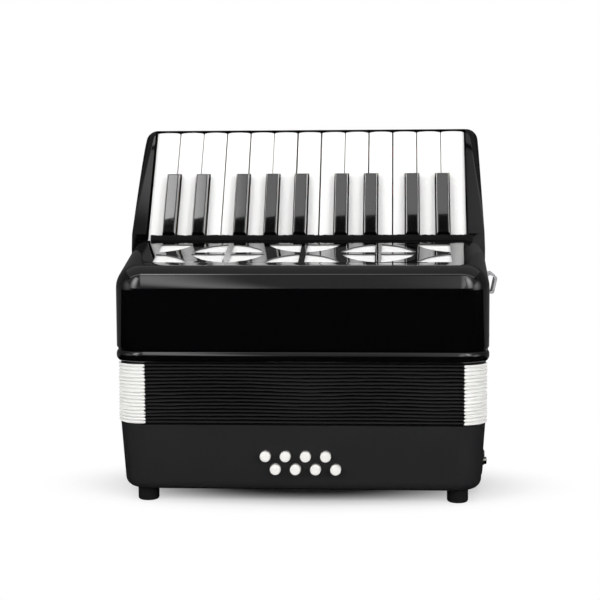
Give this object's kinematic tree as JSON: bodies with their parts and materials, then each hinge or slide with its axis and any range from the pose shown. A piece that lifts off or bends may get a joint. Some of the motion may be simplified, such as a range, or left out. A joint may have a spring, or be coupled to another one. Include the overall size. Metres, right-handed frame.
{
  "type": "piano accordion",
  "caption": "Small piano accordion with glossy treble casing, leaf-slot grille, short leaning keyboard, pleated bellows with white corners and a bass box with round buttons.",
  "frame": {"origin": "centre of the bounding box in plan, at the underside of the rubber feet", "axes": "+X along the keyboard towards the deep notes, +Y from the audience side to the player, +Z from the bass end to the keys"},
  "size_m": [0.3234, 0.169, 0.3031],
  "materials": {
    "gloss_black": "polished black celluloid",
    "satin_black": "satin black lacquer",
    "white_plastic": "glossy white plastic",
    "black_plastic": "glossy black plastic",
    "plywood": "bare plywood",
    "black_cloth": "black bellows cloth over card",
    "white_cloth": "white bellows cloth",
    "grille_cloth": "white woven cloth",
    "black_felt": "black felt",
    "red_felt": "red felt",
    "rubber": "black rubber",
    "strap_leather": "black leather",
    "steel": "bright zinc-plated steel",
    "nickel": "nickel plate",
    "zinc": "plain reed metal"
  },
  "bodies": {
    "bass_section": {"bass_box": "satin_black", "bass_end_cover": "satin_black", "rubber_feet": "rubber", "bass_screws": "steel", "bass_soundboard": "plywood", "bass_wind_chest": "plywood", "air_duct": "plywood", "bass_reed_plates": "zinc", "bass_bellows_frame": "plywood", "hand_strap": "strap_leather", "strap_screws": "nickel", "bellows": "black_cloth", "bellows_corners": "white_cloth"},
    "treble_section": {"treble_frame": "gloss_black", "treble_bellows_frame": "plywood", "grille_cover": "gloss_black", "grille_cloth": "grille_cloth", "felt_strip": "black_felt", "treble_soundboard": "plywood", "treble_reed_plates": "zinc", "keyboard_frame": "gloss_black", "back_panel": "satin_black", "key_axle": "steel", "key_springs": "steel", "key_felts": "red_felt", "strap_brackets": "nickel", "treble_screws": "steel"},
    "white_key_01": {"white_key_01": "white_plastic"},
    "white_key_02": {"white_key_02": "white_plastic"},
    "white_key_03": {"white_key_03": "white_plastic"},
    "white_key_04": {"white_key_04": "white_plastic"},
    "white_key_05": {"white_key_05": "white_plastic"},
    "white_key_06": {"white_key_06": "white_plastic"},
    "white_key_07": {"white_key_07": "white_plastic"},
    "white_key_08": {"white_key_08": "white_plastic"},
    "white_key_09": {"white_key_09": "white_plastic"},
    "white_key_10": {"white_key_10": "white_plastic"},
    "white_key_11": {"white_key_11": "white_plastic"},
    "white_key_12": {"white_key_12": "white_plastic"},
    "white_key_13": {"white_key_13": "white_plastic"},
    "black_key_1": {"black_key_1": "black_plastic"},
    "black_key_2": {"black_key_2": "black_plastic"},
    "black_key_3": {"black_key_3": "black_plastic"},
    "black_key_4": {"black_key_4": "black_plastic"},
    "black_key_5": {"black_key_5": "black_plastic"},
    "black_key_6": {"black_key_6": "black_plastic"},
    "black_key_7": {"black_key_7": "black_plastic"},
    "black_key_8": {"black_key_8": "black_plastic"},
    "black_key_9": {"black_key_9": "black_plastic"},
    "bass_button_1": {"bass_button_1": "white_plastic"},
    "bass_button_2": {"bass_button_2": "white_plastic"},
    "bass_button_3": {"bass_button_3": "white_plastic"},
    "bass_button_4": {"bass_button_4": "white_plastic"},
    "bass_button_5": {"bass_button_5": "white_plastic"},
    "bass_button_6": {"bass_button_6": "white_plastic"},
    "bass_button_7": {"bass_button_7": "white_plastic"},
    "bass_button_8": {"bass_button_8": "white_plastic"},
    "air_button": {"air_button": "white_plastic"}
  },
  "joints": [
    {"name": "bellows_slide", "type": "slide", "parent": "bass_section", "child": "treble_section", "axis": [0, 0, 1], "range_m": [0, 0.24], "deforming": ["bellows", "bellows_corners"]},
    {"name": "white_key_01_press", "type": "hinge", "parent": "treble_section", "child": "white_key_01", "pos_m": [0, 0.00149, 0.18801], "axis": [-1, 0, 0], "range_deg": [0, 1.99], "stiffness_Nm_per_rad": 0.4, "springref_deg": -9.74},
    {"name": "white_key_02_press", "type": "hinge", "parent": "treble_section", "child": "white_key_02", "pos_m": [0, 0.00149, 0.18801], "axis": [-1, 0, 0], "range_deg": [0, 1.99], "stiffness_Nm_per_rad": 0.4, "springref_deg": -9.74},
    {"name": "white_key_03_press", "type": "hinge", "parent": "treble_section", "child": "white_key_03", "pos_m": [0, 0.00149, 0.18801], "axis": [-1, 0, 0], "range_deg": [0, 1.99], "stiffness_Nm_per_rad": 0.4, "springref_deg": -9.74},
    {"name": "white_key_04_press", "type": "hinge", "parent": "treble_section", "child": "white_key_04", "pos_m": [0, 0.00149, 0.18801], "axis": [-1, 0, 0], "range_deg": [0, 1.99], "stiffness_Nm_per_rad": 0.4, "springref_deg": -9.74},
    {"name": "white_key_05_press", "type": "hinge", "parent": "treble_section", "child": "white_key_05", "pos_m": [0, 0.00149, 0.18801], "axis": [-1, 0, 0], "range_deg": [0, 1.99], "stiffness_Nm_per_rad": 0.4, "springref_deg": -9.74},
    {"name": "white_key_06_press", "type": "hinge", "parent": "treble_section", "child": "white_key_06", "pos_m": [0, 0.00149, 0.18801], "axis": [-1, 0, 0], "range_deg": [0, 1.99], "stiffness_Nm_per_rad": 0.4, "springref_deg": -9.74},
    {"name": "white_key_07_press", "type": "hinge", "parent": "treble_section", "child": "white_key_07", "pos_m": [0, 0.00149, 0.18801], "axis": [-1, 0, 0], "range_deg": [0, 1.99], "stiffness_Nm_per_rad": 0.4, "springref_deg": -9.74},
    {"name": "white_key_08_press", "type": "hinge", "parent": "treble_section", "child": "white_key_08", "pos_m": [0, 0.00149, 0.18801], "axis": [-1, 0, 0], "range_deg": [0, 1.99], "stiffness_Nm_per_rad": 0.4, "springref_deg": -9.74},
    {"name": "white_key_09_press", "type": "hinge", "parent": "treble_section", "child": "white_key_09", "pos_m": [0, 0.00149, 0.18801], "axis": [-1, 0, 0], "range_deg": [0, 1.99], "stiffness_Nm_per_rad": 0.4, "springref_deg": -9.74},
    {"name": "white_key_10_press", "type": "hinge", "parent": "treble_section", "child": "white_key_10", "pos_m": [0, 0.00149, 0.18801], "axis": [-1, 0, 0], "range_deg": [0, 1.99], "stiffness_Nm_per_rad": 0.4, "springref_deg": -9.74},
    {"name": "white_key_11_press", "type": "hinge", "parent": "treble_section", "child": "white_key_11", "pos_m": [0, 0.00149, 0.18801], "axis": [-1, 0, 0], "range_deg": [0, 1.99], "stiffness_Nm_per_rad": 0.4, "springref_deg": -9.74},
    {"name": "white_key_12_press", "type": "hinge", "parent": "treble_section", "child": "white_key_12", "pos_m": [0, 0.00149, 0.18801], "axis": [-1, 0, 0], "range_deg": [0, 1.99], "stiffness_Nm_per_rad": 0.4, "springref_deg": -9.74},
    {"name": "white_key_13_press", "type": "hinge", "parent": "treble_section", "child": "white_key_13", "pos_m": [0, 0.00149, 0.18801], "axis": [-1, 0, 0], "range_deg": [0, 1.99], "stiffness_Nm_per_rad": 0.4, "springref_deg": -9.74},
    {"name": "black_key_1_press", "type": "hinge", "parent": "treble_section", "child": "black_key_1", "pos_m": [0, 0.00149, 0.18801], "axis": [-1, 0, 0], "range_deg": [0, 2.63], "stiffness_Nm_per_rad": 0.4, "springref_deg": -9.74},
    {"name": "black_key_2_press", "type": "hinge", "parent": "treble_section", "child": "black_key_2", "pos_m": [0, 0.00149, 0.18801], "axis": [-1, 0, 0], "range_deg": [0, 2.63], "stiffness_Nm_per_rad": 0.4, "springref_deg": -9.74},
    {"name": "black_key_3_press", "type": "hinge", "parent": "treble_section", "child": "black_key_3", "pos_m": [0, 0.00149, 0.18801], "axis": [-1, 0, 0], "range_deg": [0, 2.63], "stiffness_Nm_per_rad": 0.4, "springref_deg": -9.74},
    {"name": "black_key_4_press", "type": "hinge", "parent": "treble_section", "child": "black_key_4", "pos_m": [0, 0.00149, 0.18801], "axis": [-1, 0, 0], "range_deg": [0, 2.63], "stiffness_Nm_per_rad": 0.4, "springref_deg": -9.74},
    {"name": "black_key_5_press", "type": "hinge", "parent": "treble_section", "child": "black_key_5", "pos_m": [0, 0.00149, 0.18801], "axis": [-1, 0, 0], "range_deg": [0, 2.63], "stiffness_Nm_per_rad": 0.4, "springref_deg": -9.74},
    {"name": "black_key_6_press", "type": "hinge", "parent": "treble_section", "child": "black_key_6", "pos_m": [0, 0.00149, 0.18801], "axis": [-1, 0, 0], "range_deg": [0, 2.63], "stiffness_Nm_per_rad": 0.4, "springref_deg": -9.74},
    {"name": "black_key_7_press", "type": "hinge", "parent": "treble_section", "child": "black_key_7", "pos_m": [0, 0.00149, 0.18801], "axis": [-1, 0, 0], "range_deg": [0, 2.63], "stiffness_Nm_per_rad": 0.4, "springref_deg": -9.74},
    {"name": "black_key_8_press", "type": "hinge", "parent": "treble_section", "child": "black_key_8", "pos_m": [0, 0.00149, 0.18801], "axis": [-1, 0, 0], "range_deg": [0, 2.63], "stiffness_Nm_per_rad": 0.4, "springref_deg": -9.74},
    {"name": "black_key_9_press", "type": "hinge", "parent": "treble_section", "child": "black_key_9", "pos_m": [0, 0.00149, 0.18801], "axis": [-1, 0, 0], "range_deg": [0, 2.63], "stiffness_Nm_per_rad": 0.4, "springref_deg": -9.74},
    {"name": "bass_button_1_press", "type": "slide", "parent": "bass_section", "child": "bass_button_1", "axis": [0, 1, 0], "range_m": [0, 0.0035], "stiffness_N_per_m": 100, "springref_m": -0.005},
    {"name": "bass_button_2_press", "type": "slide", "parent": "bass_section", "child": "bass_button_2", "axis": [0, 1, 0], "range_m": [0, 0.0035], "stiffness_N_per_m": 100, "springref_m": -0.005},
    {"name": "bass_button_3_press", "type": "slide", "parent": "bass_section", "child": "bass_button_3", "axis": [0, 1, 0], "range_m": [0, 0.0035], "stiffness_N_per_m": 100, "springref_m": -0.005},
    {"name": "bass_button_4_press", "type": "slide", "parent": "bass_section", "child": "bass_button_4", "axis": [0, 1, 0], "range_m": [0, 0.0035], "stiffness_N_per_m": 100, "springref_m": -0.005},
    {"name": "bass_button_5_press", "type": "slide", "parent": "bass_section", "child": "bass_button_5", "axis": [0, 1, 0], "range_m": [0, 0.0035], "stiffness_N_per_m": 100, "springref_m": -0.005},
    {"name": "bass_button_6_press", "type": "slide", "parent": "bass_section", "child": "bass_button_6", "axis": [0, 1, 0], "range_m": [0, 0.0035], "stiffness_N_per_m": 100, "springref_m": -0.005},
    {"name": "bass_button_7_press", "type": "slide", "parent": "bass_section", "child": "bass_button_7", "axis": [0, 1, 0], "range_m": [0, 0.0035], "stiffness_N_per_m": 100, "springref_m": -0.005},
    {"name": "bass_button_8_press", "type": "slide", "parent": "bass_section", "child": "bass_button_8", "axis": [0, 1, 0], "range_m": [0, 0.0035], "stiffness_N_per_m": 100, "springref_m": -0.005},
    {"name": "air_button_press", "type": "slide", "parent": "bass_section", "child": "air_button", "axis": [-1, 0, 0], "range_m": [0, 0.004], "stiffness_N_per_m": 120, "springref_m": -0.005}
  ]
}
